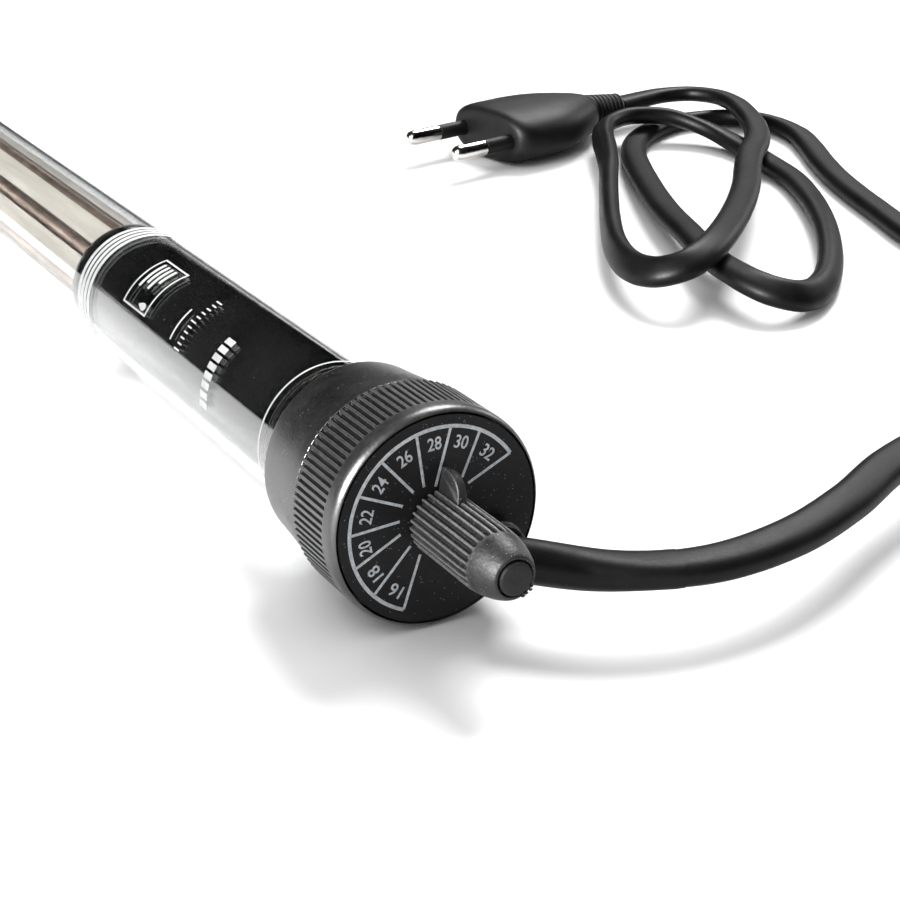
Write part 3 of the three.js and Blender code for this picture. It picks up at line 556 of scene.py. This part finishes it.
krings += [kplain(20.98, 2.82), kplain(20.85, 2.76), kplain(20.5, 2.75), kplain(19.8, 2.75), kplain(19.8, 1.2), kplain(19.8, 0.01)]
krings = [kplain(0.3, 0.01), kplain(0.3, 4.0)] + krings
knob = Form()
knob.rings(krings)
fin = [(4.2, 0.3), (7.9, 0.3), (8.28, 0.38), (8.42, 0.7), (8.47, 1.3), (8.47, 1.9), (8.4, 2.5), (8.24, 3.15), (7.98, 3.8), (7.6, 4.4), (7.12, 4.92), (6.55, 5.32), (5.95, 5.62), (5.2, 5.8), (4.2, 5.9)]
ft = math.radians(82)
E, S = np.array((math.cos(ft), math.sin(ft))), np.array((-math.sin(ft), math.cos(ft)))
cen = np.array((4.2, 2.6))
fr = []
for w, k in ((-0.75, 0.88), (-0.73, 0.93), (-0.66, 0.97), (-0.5, 1.0), (0.5, 1.0), (0.66, 0.97), (0.73, 0.93), (0.75, 0.88)):
    ring = []
    for r, h in fin:
        q = cen + (np.array((r, h)) - cen) * (k if r > 4.3 else 1.0)
        yz = E * q[0] + S * w
        ring.append((q[1], yz[0], yz[1]))
    fr.append(ring)
knob.rings(fr)
# The flute ridge tops are painted lighter, fading toward the dome. This is partly wear on the ridges and partly a
# painted highlight. The dome and fin get a faint, even lightening.
sheen_and_wear_mask = []
for x, y, z in knob.v:
    r = math.hypot(y, z)
    ridge = step((r - 4.6) / 0.28)
    sheen_and_wear_mask.append(ridge * (1 - 0.72 * step((x - 15.2) / 1.4)) if x < 17.5 and r < 5.2 else (0.07 if r < 5.2 else 0.04))
knob.sheen_and_wear = sheen_and_wear_mask
place(knob.build("knob_moulded", MAT["knob"], angle=48), "knob_plastic", ["knob"], "knob")
tip = Form().lathe([(20.1, 0), (20.1, 2.45), (21.2, 2.45), (21.38, 2.4), (21.46, 2.28), (21.5, 2.1), (21.47, 1.2), (21.45, 0)], 64, loop=False)
place(tip.build("knob_tip_disc", MAT["tip"]), "knob_plastic", ["knob_tip_plug"], "knob")

random.seed(7)
crumbs = Form()
for i in range(16):
    a = math.radians(random.uniform(-72, -8))
    r = random.uniform(2.55, 3.35)
    size = random.uniform(0.10, 0.24)
    bm = bmesh.new()
    bmesh.ops.create_icosphere(bm, subdivisions=2, radius=size)
    seed = Vector((i * 3.1, i * 1.7, 0.4))
    sx, sy = random.uniform(0.8, 1.7), random.uniform(0.6, 1.1)
    pts = []
    for q in bm.verts:
        c = q.co * (1 + 0.55 * noise.noise(q.co * (2.2 / size * 0.5) + seed))
        pts.append((21.05 + (0.42 if r < 2.5 else 0.08) + c.x * 0.8, r * math.cos(a) + c.y * sx, r * math.sin(a) + c.z * sy))
    crumbs.add(pts, [tuple(w.index for w in q.verts) for q in bm.faces])
    bm.free()
place(crumbs.build("knob_tip_crumbs", MAT["crumb"], angle=80), None, (), "knob")

# ---- cord boss --------------------------------------------------------------------
prof = fillet([
    (-3.6, 2.9), (-3.6, 3.6), (0.3, 3.6), (0.3, 4.6, 0.1), (1.5, 4.56), (2.9, 4.52, 0.5), (3.3, 4.36, 0.3), (4.3, 4.22, 0.3), (4.3, 3.5, 0.2), (1.5, 3.45), (1.5, 2.9)])
place(Form().lathe(prof, 96, y=8.0, z=-5.7).build("cord_boss_moulded", MAT["boss"]), "black_plastic", ["cord_boss"])

# ---- thermostat sleeve and separator disc --------------------------------------------
prof = fillet([(-118.6, 10.1), (-118.6, 10.9, 0.25), (-28.0, 10.9, 0.25), (-28.0, 10.1)])
place(Form().lathe(prof, 128).build("sleeve_lacquered", MAT["gloss_black"]), "gloss_black", ["thermostat_sleeve"])
prof = [(-121.4, 0), (-121.4, 10.6), (-121.33, 10.8), (-121.15, 10.9), (-119.35, 10.9), (-119.17, 10.8), (-119.1, 10.6), (-119.1, 0)]
place(Form().lathe(prof, 96, loop=False).build("separator_moulded", MAT["gloss_black"]), "gloss_black", ["separator_disc"])

# ---- ceramic core, coils, end pad ------------------------------------------------------
outline = []
CR, CC = 1.75, 8.65
half = math.asin(CR / CC) * 1.02
for i in range(8):
    a0 = 2 * math.pi * i / 8
    for k in range(15):
        b = math.pi * (0.32 + 1.36 * k / 14)
        y, z = CC + CR * math.cos(b), -CR * math.sin(b)
        outline.append((y * math.cos(a0) - z * math.sin(a0), y * math.sin(a0) + z * math.cos(a0)))
    for k in range(1, 8):
        a = a0 + half + (2 * math.pi / 8 - 2 * half) * (k / 8)
        outline.append((9.6 * math.cos(a), 9.6 * math.sin(a)))
core = Form()
inner = [(2.6 * math.cos(math.atan2(q[1], q[0])), 2.6 * math.sin(math.atan2(q[1], q[0]))) for q in outline]
n = len(outline)
cuts = [-284.0, -283.7] + list(np.linspace(-270, -135, 10)) + [-122.3, -122.0]
rings_ = []
for x in cuts:
    k = 0.97 if x in (-284.0, -122.0) else 1.0
    rings_.append([(x, y * k, z * k) for y, z in outline])
hole = [[(x, y, z) for y, z in inner] for x in (-122.0, -284.0)]
allr = rings_ + hole
v = [p for r in allr for p in r]
f = []
for i in range(len(allr)):
    i2 = (i + 1) % len(allr)
    for j in range(n):
        j2 = (j + 1) % n
        f.append((i * n + j, i * n + j2, i2 * n + j2, i2 * n + j))
core.add(v, f)
place(core.build("core_fired", MAT["ceramic"], angle=38), "ceramic", ["ceramic_core"])

WIRE, TURN, PER = 0.19, 0.86, 10
for i in range(8):
    a0 = 2 * math.pi * i / 8
    cy, cz = CC * math.cos(a0), CC * math.sin(a0)
    L = 158.0
    turns = L / TURN
    count = int(turns * PER)
    rings_ = []
    for k in range(count + 1):
        t = 2 * math.pi * k / PER + i * 0.7
        x = -282.0 + L * k / count
        wob = 0.03 * math.sin(x * 0.35 + i)
        rr = 1.25 - WIRE + wob * 0.4
        c = np.array((x, cy + rr * math.cos(t), cz + rr * math.sin(t)))
        radial = np.array((0, math.cos(t), math.sin(t)))
        tang = np.array((TURN / (2 * math.pi), -rr * math.sin(t), rr * math.cos(t)))
        tang /= np.linalg.norm(tang)
        other = np.cross(tang, radial)
        rings_.append([tuple(c + WIRE * (math.cos(q) * radial + math.sin(q) * other)) for q in (0, 1.2566, 2.5133, 3.7699, 5.0265)])
    place(Form().rings(rings_).build("coil_wound_%d" % (i + 1), MAT["coil_wire"], angle=180), "coil_wire", ["heating_coil_%d" % (i + 1)])

prof = [(-288.0, 0), (-288.0, 10.0), (-287.85, 10.4), (-287.5, 10.6), (-284.8, 10.6), (-284.45, 10.4), (-284.3, 10.0), (-284.3, 0)]
place(Form().lathe(prof, 96, loop=False).build("end_pad_pressed", MAT["ceramic"]), "ceramic", ["core_end_pad"])


# ---- printed marks on the glass ----------------------------------------------------------
def band_on_tube(form, x0, x1, a0, a1, r0=12.502, r1=12.53, seg=None):
    """Thin patch wrapped on the tube between two angles, in degrees."""
    full = abs(a1 - a0) >= 360
    n = seg or max(2, int(abs(a1 - a0) / 2.5))
    ang = [math.radians(a0 + (a1 - a0) * k / n) for k in range(n if full else n + 1)]
    v, f = [], []
    for t in ang:
        for x, r in ((x0, r0), (x1, r0), (x1, r1), (x0, r1)):
            v.append((x, r * math.cos(t), r * math.sin(t)))
    m = len(ang)
    for j in range(m if full else m - 1):
        j2 = (j + 1) % m
        for k in range(4):
            k2 = (k + 1) % 4
            f.append((j * 4 + k, j * 4 + k2, j2 * 4 + k2, j2 * 4 + k))
    if not full:
        f += [(3, 2, 1, 0), tuple((m - 1) * 4 + k for k in range(4))]
    form.add(v, f)


marks = Form()
for k in range(4):
    x = -116.1 + k * 1.62
    band_on_tube(marks, x, x + 1.05, 0, 360, seg=144)
band_on_tube(marks, -34.55, -34.2, 0, 360, seg=144)
# frame with plain bars
for x0, x1, a0, a1 in ((-95.5, -95.1, 99, 150), (-85.6, -85.2, 99, 150), (-95.5, -85.2, 99, 100.6), (-95.5, -85.2, 148.4, 150),
                       (-93.7, -92.9, 104, 132), (-92.1, -91.3, 104, 126), (-90.5, -89.7, 104, 130), (-88.9, -88.1, 104, 121)):
    band_on_tube(marks, x0, x1, a0, a1)
# scale bars and blocks
for k in range(11):
    a = 104 + 5 * k
    band_on_tube(marks, -70.6 if k % 5 == 0 else -70.1, -68.6, a - 0.6, a + 0.6, seg=2)
band_on_tube(marks, -73.35, -72.95, 122, 151)
for k in range(8):
    a = 122 + 7.6 * k
    band_on_tube(marks, -57.4, -54.6, a, a + 5.2)
# drop
N = 14
drop = []
for k in range(2 * N):
    t = 2 * math.pi * k / (2 * N)
    w = 0.95 * math.sin(t) * math.sin(t / 2) ** 1.2
    drop.append((-88.0 - 1.5 * math.cos(t), 144.0 + math.degrees(w / 12.5)))
v = [(x, r * math.cos(math.radians(a)), r * math.sin(math.radians(a))) for r in (12.502, 12.53) for x, a in drop]
n = len(drop)
marks.add(v, [tuple(range(n - 1, -1, -1)), tuple(range(n, 2 * n))] + [(j, (j + 1) % n, n + (j + 1) % n, n + j) for j in range(n)])
place(marks.build("tube_print_marks", MAT["glass_print"], angle=40), None)

# ---- mains lead -----------------------------------------------------------------------------
# x and y from the dial face in plan, height above the floor, roll in degrees; in mm.
ROUTE = [
  [5.6, 8, 11.5, 0], [15.6, 19, 11.19, 0], [20.9, 32.8, 11.03, 7], [20.6, 47.7, 11.36, 12], [16.3, 62, 11.71, 15], [9.9, 75.5, 11.76, 16],
  [4.7, 89.5, 11.24, 13], [-0.6, 103.5, 10.4, 11], [-6.1, 117.3, 9.19, 10], [-12.7, 130.7, 7.74, 10], [-21, 143, 6.23, 10], [-31.3, 153.7, 4.83, 10],
  [-43.8, 161.9, 3.7, 8], [-57.3, 168.1, 2.94, 4], [-71.5, 172.9, 2.41, 1], [-85.9, 176.8, 2.21, 0], [-100.4, 180.6, 2.2, 0], [-114.5, 185.4, 2.2, 0],
  [-128.7, 190.1, 2.2, 0], [-142.7, 195.4, 2.2, 0], [-156.3, 201.7, 2.2, -1], [-169.5, 208.6, 2.24, 2], [-181.4, 213.4, 2.45, 12], [-193.9, 213.6, 2.62, 20],
  [-203.7, 206.1, 2.61, 19], [-206.6, 193.9, 2.46, 12], [-203.2, 181.8, 2.25, 3], [-195.5, 171.2, 2.29, 0], [-183.8, 161.9, 2.83, 0], [-170.9, 154.5, 3.48, 0],
  [-157.6, 147.6, 4.13, 0], [-144.2, 141, 4.75, 0], [-130.5, 134.9, 5.4, 0], [-116.6, 129.6, 6.08, 0], [-102.7, 124.1, 6.69, -1], [-96.8, 122.1, 6.94, 1],
  [-91.5, 120.6, 7.16, 3], [-86.1, 119.7, 7.31, 8], [-80.6, 119.5, 7.15, 18], [-75.6, 121.3, 6.38, 34], [-73.4, 126, 5.13, 49], [-74.7, 131.2, 4.26, 54],
  [-77.6, 135.8, 3.79, 55], [-81, 140.1, 3.51, 54], [-84.8, 144, 3.33, 52], [-88.8, 147.8, 3.2, 50], [-96.6, 154.5, 3.11, 46], [-108.5, 163.5, 2.96, 37],
  [-121, 171.7, 2.75, 26], [-134.1, 179, 2.52, 15], [-147.7, 185.1, 2.3, 5], [-162.2, 188.8, 2.21, 0], [-176.9, 191.2, 2.76, 6], [-189.5, 189.5, 4.71, 19],
  [-198.1, 183.1, 6.94, 26], [-201.6, 172.8, 7.68, 31], [-197.8, 162.6, 7.34, 43], [-189.2, 155.7, 7.11, 56], [-179.5, 150.1, 7.01, 63], [-168, 143.2, 6.8, 70],
  [-155.6, 134.8, 6.43, 76], [-143.1, 126.5, 6.25, 78], [-130.6, 118.4, 6.17, 77], [-117.7, 110.7, 6.25, 73], [-112.1, 107.9, 6.39, 70], [-107, 105.7, 6.61, 66],
  [-101.8, 104.1, 6.97, 62], [-96.4, 103.3, 7.62, 57], [-91.2, 104.2, 8.77, 49], [-88.2, 108.2, 10.39, 35], [-89.3, 113.4, 11.5, 24], [-92.1, 118.1, 11.92, 18],
  [-95.5, 122.4, 11.91, 14], [-99.1, 126.5, 11.71, 13], [-102.8, 130.5, 11.44, 11], [-110.2, 138, 10.78, 9], [-121, 148.3, 9.83, 7], [-132.2, 158.2, 9, 6],
  [-143.8, 167.6, 8.28, 6], [-155.2, 177.3, 7.68, 6], [-165.8, 187.8, 7.18, 6], [-177.8, 196.7, 6.91, 7], [-191.1, 203.4, 7.13, 10], [-199.1, 206.1, 7.39, 12],
  [-207.4, 206.4, 7.51, 12], [-214.7, 202.6, 7.27, 13], [-217.9, 195, 7.04, 9], [-217.2, 186.7, 6.93, 4], [-215.7, 178.5, 6.85, 0],
]


def spline(P, n=24):
    """Centripetal Catmull-Rom through the rows of P, with mirrored end points."""
    Q = np.vstack([2 * P[0] - P[1], P, 2 * P[-1] - P[-2]])
    out = []
    for i in range(1, len(Q) - 2):
        p0, p1, p2, p3 = Q[i - 1:i + 3]
        d = [max(float(np.sum((b[:3] - a[:3]) ** 2)) ** 0.25, 1e-6) for a, b in ((p0, p1), (p1, p2), (p2, p3))]
        t1 = ((p1 - p0) / d[0] - (p2 - p0) / (d[0] + d[1]) + (p2 - p1) / d[1]) * d[1]
        t2 = ((p2 - p1) / d[1] - (p3 - p1) / (d[1] + d[2]) + (p3 - p2) / d[2]) * d[1]
        for k in range(n):
            t = k / n
            out.append(p1 + t1 * t + (-3 * p1 + 3 * p2 - 2 * t1 - t2) * t * t + (2 * p1 - 2 * p2 + t1 + t2) * t ** 3)
    out.append(Q[-2])
    return np.array(out)


rows = np.array(ROUTE, float)
rows[:, 0] += FACE_X
fine = spline(rows)
arc = np.r_[0, np.cumsum(np.linalg.norm(np.diff(fine[:, :3], axis=0), axis=1))]
LENGTH = float(arc[-1])


def run(s):
    """Points, roll and frame axes at distances s along the lead."""
    C = np.stack([np.interp(s, arc, fine[:, k]) for k in range(4)], 1)
    ahead_ = np.stack([np.interp(np.clip(s + 0.8, 0, LENGTH), arc, fine[:, k]) for k in range(3)], 1)
    behind = np.stack([np.interp(np.clip(s - 0.8, 0, LENGTH), arc, fine[:, k]) for k in range(3)], 1)
    T = ahead_ - behind
    T /= np.linalg.norm(T, axis=1)[:, None]
    left = np.cross((0, 0, 1), T)
    left /= np.linalg.norm(left, axis=1)[:, None]
    up = np.cross(T, left)
    c, q = np.cos(np.radians(C[:, 3]))[:, None], np.sin(np.radians(C[:, 3]))[:, None]
    w = c * left + q * up
    return C[:, :3], w, np.cross(T, w), T


W, T_ = 6.8, 4.2
SECTION = []
for k in range(28):
    t = 2 * math.pi * (k + 0.5) / 28
    ex = 2.0 / 2.9
    SECTION.append((W / 2 * math.copysign(abs(math.cos(t)) ** ex, math.cos(t)), T_ / 2 * math.copysign(abs(math.sin(t)) ** (2.0 / 2.25), math.sin(t))))
s = np.r_[np.arange(3.0, LENGTH - 0.2, 1.25), LENGTH - 0.05]
C, Wv, Vv, _ = run(s)
rings_ = []
for i in range(len(s)):
    k = 0.78 + 0.22 * step((s[i] - 20.0) / 2.5)
    ring = []
    for a, b in SECTION:
        p = C[i] + Wv[i] * a * k + Vv[i] * b * k
        ring.append((p[0], p[1], max(p[2], 0.03)))
    rings_.append(ring)
lead = Form().rings(rings_).build("mains_lead_flat", MAT["lead"], ROW, angle=60)

RELIEF = 25.0
s = np.arange(0.0, RELIEF + 0.01, 0.5)
C, Wv, Vv, _ = run(s)
rings_ = []
for i in range(len(s)):
    t = step((s[i] - 4.0) / (RELIEF - 5.0))
    hw, hh = 3.32 + (3.47 - 3.32) * t, 3.32 + (2.17 - 3.32) * t
    if s[i] > RELIEF - 0.8:
        hw, hh = hw - 0.04, hh - 0.04
    ridge = 1.0
    ex = 2.0 / (2.0 + 0.8 * t)
    ring = []
    for k in range(40):
        a = 2 * math.pi * (k + 0.5) / 40
        y = hw * math.copysign(abs(math.cos(a)) ** ex, math.cos(a))
        z = hh * math.copysign(abs(math.sin(a)) ** ex, math.sin(a))
        ring.append(tuple(C[i] + Wv[i] * y * ridge + Vv[i] * z * ridge))
    rings_.append(ring)
relief = place(Form().rings(rings_).build("strain_relief_moulded", MAT["lead"], ROW, angle=50), "black_rubber", ["strain_relief"])

# ---- plug -----------------------------------------------------------------------------------
STATIONS = [
    (-48.0, 11.6, 4.9, 2.6), (-47.85, 12.6, 5.6, 2.6), (-47.5, 13.3, 6.1, 2.6), (-46.8, 14.0, 6.5, 2.6), (-45.8, 14.6, 6.72, 2.6), (-44.4, 15.0, 6.82, 2.6), (-42.5, 15.2, 6.84, 2.6),
    (-40, 15.2, 6.84, 2.6), (-37, 15.2, 6.84, 2.6), (-34, 15.15, 6.84, 2.6), (-31.5, 14.8, 6.82, 2.6), (-29, 14.25, 6.78, 2.6), (-26.5, 13.5, 6.7, 2.55), (-24, 12.5, 6.55, 2.5),
    (-22, 11.5, 6.4, 2.45), (-20, 10.5, 6.2, 2.4), (-18, 9.4, 5.95, 2.3), (-16, 8.3, 5.7, 2.25), (-14.6, 7.3, 5.4, 2.2), (-13.4, 6.3, 5.1, 2.1), (-12.6, 5.4, 4.8, 2.0)]
for k in range(7):
    x = -12.0 + 1.6 * k
    r = 4.7 - 1.25 * (k / 6.0)
    STATIONS += [(x, r, r, 2.0), (x + 0.15, r + 0.0, r + 0.0, 2.0), (x + 0.75, r - 0.05, r - 0.05, 2.0), (x + 0.9, r - 0.5, r - 0.5, 2.0), (x + 1.45, r - 0.55, r - 0.55, 2.0)]
STATIONS += [(-0.75, 3.4, 3.4, 2.0), (-0.6, 3.2, 3.2, 2.0)]
rings_ = []
for x, hw, hh, e in STATIONS:
    hw, hh = max(hw, 3.0), max(hh, 2.9)
    ring = []
    for k in range(64):
        a = 2 * math.pi * (k + 0.5) / 64
        ring.append((x, hw * math.copysign(abs(math.cos(a)) ** (2 / e), math.cos(a)), hh * math.copysign(abs(math.sin(a)) ** (2 / e), math.sin(a))))
    rings_.append(ring)
plug = Form().rings(rings_)
plug = place(plug.build("plug_moulded", MAT["plug"], PLUG, angle=40), "black_rubber", ["plug_body"])
for name, sgn in (("left", 1), ("right", -1)):
    y = 9.3 * sgn
    pin = Form().lathe([(-40.4, 0), (-40.4, 1.15), (-57.0, 1.15), (-57.0, 2.0), (-65.2, 2.0), (-65.9, 1.85), (-66.5, 1.45), (-66.9, 0.8), (-67.0, 0)], 48, loop=False, y=y)
    place(pin.build("plug_pin_turned_" + name, MAT["nickel"], PLUG), "nickel", ["plug_pin_" + name])
    sl = Form().lathe(fillet([(-56.7, 1.45), (-56.7, 1.98, 0.15), (-41.0, 1.98), (-41.0, 1.45)]), 48, y=y)
    place(sl.build("plug_sleeve_moulded_" + name, MAT["plug"], PLUG), "black_rubber", ["plug_pin_sleeve_" + name])

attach(lead, "housing")
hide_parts("mains_cord")

# ---- CAD nodes that keep their shape -----------------------------------------------------------
KEPT = {
    "dial_plate": "face", "tube_gasket": "black_rubber", "spindle": "steel", "spindle_bush": "brass", "spindle_o_ring": "black_rubber",
    "spindle_clip": "steel", "tube_stopper": "grey_silicone", "carrier_board": "laminate", "follower_nut": "brass", "lever_bracket": "steel",
    "lever_pin": "steel", "contact_lever": "brass", "lever_contact": "silver", "bimetal_strip": "bimetal", "bimetal_contact": "silver",
    "bimetal_foot": "brass", "snap_magnet": "steel", "neon_lamp": "lamp_glass", "neon_resistor": "film_blue", "suppressor_capacitor": "film_blue",
    "terminal_live": "brass", "terminal_neutral": "brass", "lead_live": "wire_brown", "lead_neutral": "wire_blue", "coil_lead_1": "steel", "coil_lead_2": "steel"}
for name, mat in KEPT.items():
    ob = frame["nodes"][name]
    if not ob.material_slots:
        ob.data.materials.append(MAT[mat])
    for slot_ in ob.material_slots:
        slot_.material = MAT[mat]

# ---- floor and light ----------------------------------------------------------------------------
fl = bpy.data.meshes.new("floor")
S_ = 2.6
fl.from_pydata([(-S_, -S_, 0), (S_, -S_, 0), (S_, S_, 0), (-S_, S_, 0)], [], [(0, 1, 2, 3)])
fl.materials.append(MAT["floor"])
floor = bpy.data.objects.new("floor", fl)
scene.collection.objects.link(floor)

world = bpy.data.worlds.new("studio")
scene.world = world
world.use_nodes = True
nt = world.node_tree
nt.nodes.clear()
out = node(nt, "ShaderNodeOutputWorld")
bg = node(nt, "ShaderNodeBackground")
tc = node(nt, "ShaderNodeTexCoord")
sep = node(nt, "ShaderNodeSeparateXYZ")
nt.links.new(tc.outputs["Generated"], sep.inputs[0])
mr = node(nt, "ShaderNodeMapRange", interpolation_type="SMOOTHSTEP")
mr.inputs["From Min"].default_value = 0.66
mr.inputs["From Max"].default_value = 0.86
mr.inputs["To Min"].default_value = 0.6
mr.inputs["To Max"].default_value = 1.75
nt.links.new(sep.outputs["Z"], mr.inputs["Value"])
nt.links.new(mr.outputs[0], bg.inputs["Strength"])
pale = node(nt, "ShaderNodeBackground")
pale.inputs["Color"].default_value = (1, 1, 1, 1)
pale.inputs["Strength"].default_value = 1.1
lp = node(nt, "ShaderNodeLightPath")
mx = node(nt, "ShaderNodeMixShader")
nt.links.new(lp.outputs["Is Camera Ray"], mx.inputs[0])
nt.links.new(bg.outputs[0], mx.inputs[1])
nt.links.new(pale.outputs[0], mx.inputs[2])
nt.links.new(mx.outputs[0], out.inputs[0])
world.cycles_visibility.glossy = False
world.cycles_visibility.transmission = False


def aim(ob, towards):
    ob.rotation_euler = Vector(towards).to_track_quat("Z", "Y").to_euler()


sun = bpy.data.objects.new("key", bpy.data.lights.new("key", "SUN"))
sun.data.energy = 3.9
sun.data.angle = math.radians(26)
aim(sun, (-0.43, 0.476, 0.766))
scene.collection.objects.link(sun)


def softbox(name, direction, distance, size, radiance, at=(0.13, 0.0, 0.02), diffuse=True):
    d = Vector(direction).normalized()
    li = bpy.data.lights.new(name, "AREA")
    li.shape = "RECTANGLE"
    li.size, li.size_y = size
    li.energy = radiance * math.pi * size[0] * size[1]
    ob = bpy.data.objects.new(name, li)
    ob.location = Vector(at) + d * distance
    aim(ob, d)
    ob.visible_diffuse = diffuse
    scene.collection.objects.link(ob)


softbox("fill_top", (0.25, -0.5, 0.83), 1.3, (0.7, 0.7), 1.3)
softbox("front_left", (0.16, -0.88, 0.42), 0.95, (0.36, 0.28), 210.0, diffuse=False)
softbox("right_side", (-0.33, 0.91, 0.30), 1.1, (0.3, 0.3), 7.0, diffuse=False)
